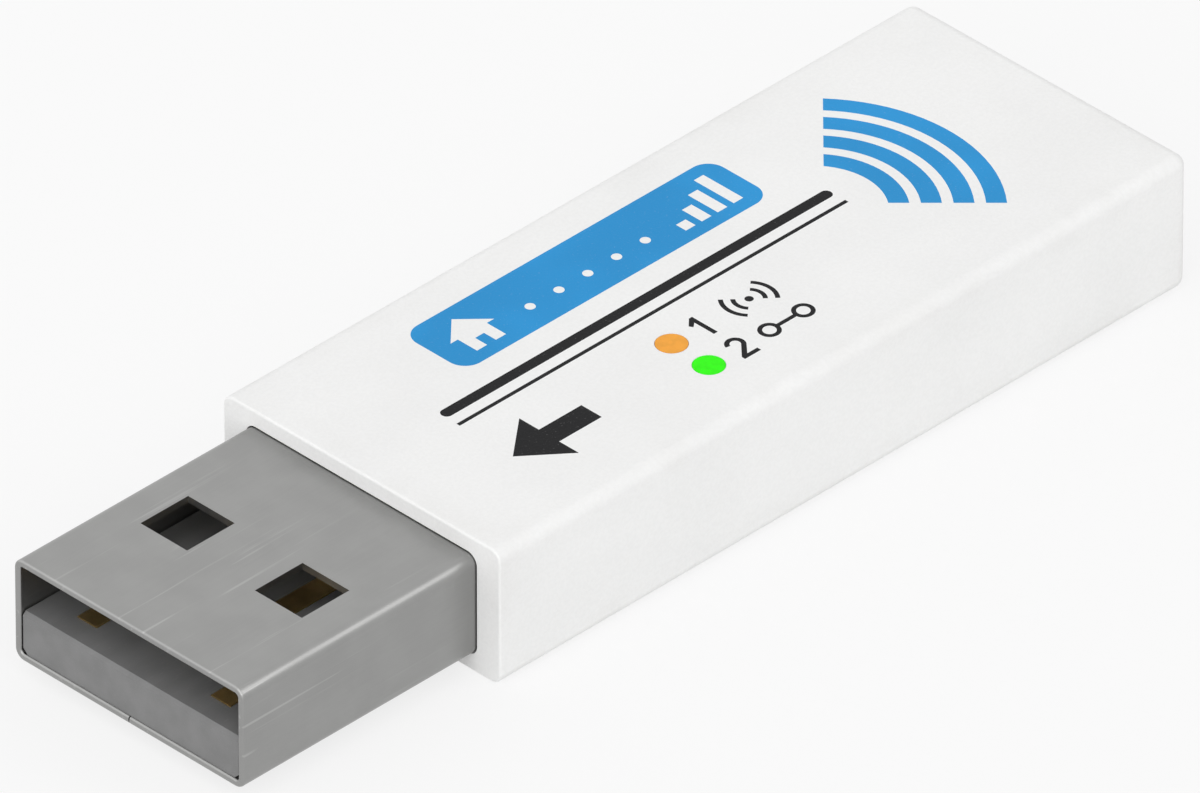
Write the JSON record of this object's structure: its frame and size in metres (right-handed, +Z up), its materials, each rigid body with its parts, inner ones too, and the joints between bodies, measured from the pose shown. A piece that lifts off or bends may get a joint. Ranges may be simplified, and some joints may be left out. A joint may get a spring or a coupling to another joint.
{
  "type": "smart home usb radio stick",
  "caption": "White radio stick with a rounded far end, a bare folded steel plug in front and coloured indicator dots on top, that links a computer to a home's wireless devices.",
  "frame": {"origin": "under the middle of the stick's whole length and width, on the surface it lies on", "axes": "+X from the plug's tip to the far end, +Y to the side away from the indicator dots, +Z up through the side with the dots"},
  "size_m": [0.0484, 0.0144, 0.006],
  "materials": {
    "white_plastic": "white, fine satin texture",
    "plug_steel": "nickel plated sheet, satin",
    "grey_plastic": "mid grey, matt",
    "contact_gold": "gold plated",
    "board": "green solder mask",
    "shield_steel": "tinned sheet",
    "chip_plastic": "black moulding, matt",
    "ceramic": "fired, with tinned ends",
    "lamp_plastic": "clear and cream",
    "orange_clear": "orange, translucent",
    "green_clear": "bright green, translucent"
  },
  "bodies": {
    "root": {"housing": "white_plastic", "plug_shell": "plug_steel", "plug_insulator": "grey_plastic", "contact_power": "contact_gold", "contact_data_minus": "contact_gold", "contact_data_plus": "contact_gold", "contact_ground": "contact_gold", "orange_light_pipe": "orange_clear", "green_light_pipe": "green_clear", "circuit_board": "board", "surge_protector": "chip_plastic", "ferrite_bead": "ceramic", "input_capacitor": "ceramic", "voltage_regulator": "chip_plastic", "output_capacitor": "ceramic", "interface_chip": "chip_plastic", "capacitor_1": "ceramic", "capacitor_2": "ceramic", "capacitor_3": "ceramic", "orange_led": "lamp_plastic", "green_led": "lamp_plastic", "orange_led_resistor": "ceramic", "green_led_resistor": "ceramic", "radio_board": "board", "radio_shield": "shield_steel", "radio_chip": "chip_plastic", "radio_crystal": "shield_steel", "radio_capacitor_1": "ceramic", "radio_capacitor_2": "ceramic", "radio_capacitor_3": "ceramic", "radio_capacitor_4": "ceramic", "radio_inductor_1": "ceramic", "radio_inductor_2": "ceramic", "chip_antenna": "ceramic", "antenna_inductor": "ceramic"}
  },
  "joints": []
}
